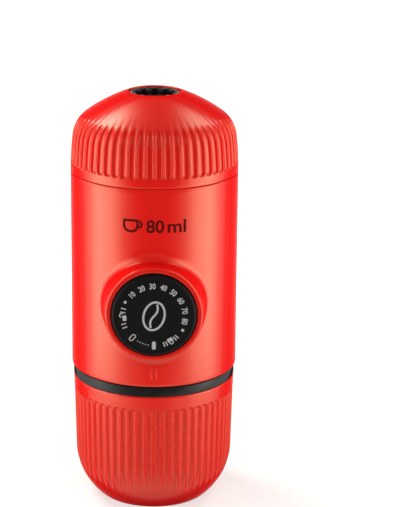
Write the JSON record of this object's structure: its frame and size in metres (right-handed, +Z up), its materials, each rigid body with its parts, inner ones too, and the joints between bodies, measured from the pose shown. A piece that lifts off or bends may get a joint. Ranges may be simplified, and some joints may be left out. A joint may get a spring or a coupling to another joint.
{
  "type": "handheld espresso maker",
  "caption": "Handheld manual espresso maker: fluted drinking cup, water tank, body with a side pump knob, and a screw-on brewing head with a top outlet.",
  "frame": {"origin": "centre of the flat foot of the upturned cup, on the object's long axis", "axes": "+Z up along the long axis from the cup to the outlet, -Y the way the pump knob faces, +X to the right seen from the knob's side"},
  "size_m": [0.062, 0.071, 0.156],
  "materials": {
    "red_plastic": "satin red moulded plastic",
    "dark_plastic": "satin dark grey plastic",
    "knob_black": "satin black plastic with pale grey printed marks",
    "gloss_black": "gloss black plastic",
    "inner_plastic": "plain glass-filled plastic",
    "white_plastic": "acetal washer",
    "seal": "silicone rubber",
    "steel": "stainless steel"
  },
  "bodies": {
    "main": {"body_shell": "red_plastic", "tank_socket": "inner_plastic", "pump_block": "inner_plastic", "valve_o_rings": "seal", "guide_bush": "inner_plastic", "inlet_seat": "seal", "inlet_strainer": "steel", "air_valve": "seal", "socket_screws": "steel", "head_screws": "steel", "brew_head": "inner_plastic", "shower_screen": "steel", "screen_screws": "steel", "brew_gasket": "seal", "return_spring": "steel", "inlet_spring": "steel", "outlet_spring": "steel"},
    "head_ring": {"head_seal": "seal"},
    "head": {"head_cover": "red_plastic", "portafilter": "inner_plastic", "nozzle": "gloss_black", "nozzle_seal": "seal"},
    "basket": {"filter_basket": "steel", "basket_screen": "steel"},
    "tank_ring": {"tank_seal": "seal"},
    "tank": {"water_tank": "dark_plastic", "cup_grip_ring": "seal"},
    "cup": {"cup": "red_plastic"},
    "spring_washer": {"thrust_washer": "white_plastic"},
    "knob": {"knob_cap": "knob_black", "knob_disc": "knob_black", "knob_screw": "steel", "piston_rod": "inner_plastic", "piston_seal": "seal"},
    "inlet_valve": {"inlet_poppet": "seal"},
    "outlet_valve": {"outlet_poppet": "seal"}
  },
  "joints": [
    {"name": "head_lift", "type": "slide", "parent": "main", "child": "head_ring", "axis": [0, 0, 1], "range_m": [0, 0.0181]},
    {"name": "head_turn", "type": "hinge", "parent": "head_ring", "child": "head", "pos_m": [0, 0, 0.1265], "axis": [0, 0, 1], "range_deg": [0, 540]},
    {"name": "basket_out", "type": "slide", "parent": "head", "child": "basket", "axis": [0, 0, -1], "range_m": [0, 0.0121]},
    {"name": "tank_drop", "type": "slide", "parent": "main", "child": "tank_ring", "axis": [0, 0, -1], "range_m": [0, 0.0091]},
    {"name": "tank_turn", "type": "hinge", "parent": "tank_ring", "child": "tank", "pos_m": [0, 0, 0.055], "axis": [0, 0, -1], "range_deg": [0, 540]},
    {"name": "cup_pull", "type": "slide", "parent": "tank", "child": "cup", "axis": [0, 0, -1], "range_m": [0, 0.055]},
    {"name": "pump_stroke", "type": "slide", "parent": "main", "child": "spring_washer", "axis": [0, -1, 0], "range_m": [0, 0.019], "deforming": ["return_spring"]},
    {"name": "knob_turn", "type": "hinge", "parent": "spring_washer", "child": "knob", "pos_m": [0, -0.03, 0.0825], "axis": [0, -1, 0], "range_deg": [0, 44]},
    {"name": "inlet_valve_lift", "type": "slide", "parent": "main", "child": "inlet_valve", "axis": [0, 0, 1], "range_m": [0, 0.0008], "stiffness_N_per_m": 40, "springref_m": -0.0006, "deforming": ["inlet_spring"]},
    {"name": "outlet_valve_lift", "type": "slide", "parent": "main", "child": "outlet_valve", "axis": [0, 0, 1], "range_m": [0, 0.0008], "stiffness_N_per_m": 40, "springref_m": -0.0006, "deforming": ["outlet_spring"]}
  ],
  "couplings": [
    {"joint": "head_lift", "follows": "head_turn", "m_per_rad": 0.0019099},
    {"joint": "basket_out", "follows": "head_turn", "m_per_rad": 0.0012732},
    {"joint": "tank_drop", "follows": "tank_turn", "m_per_rad": 0.00095493}
  ]
}
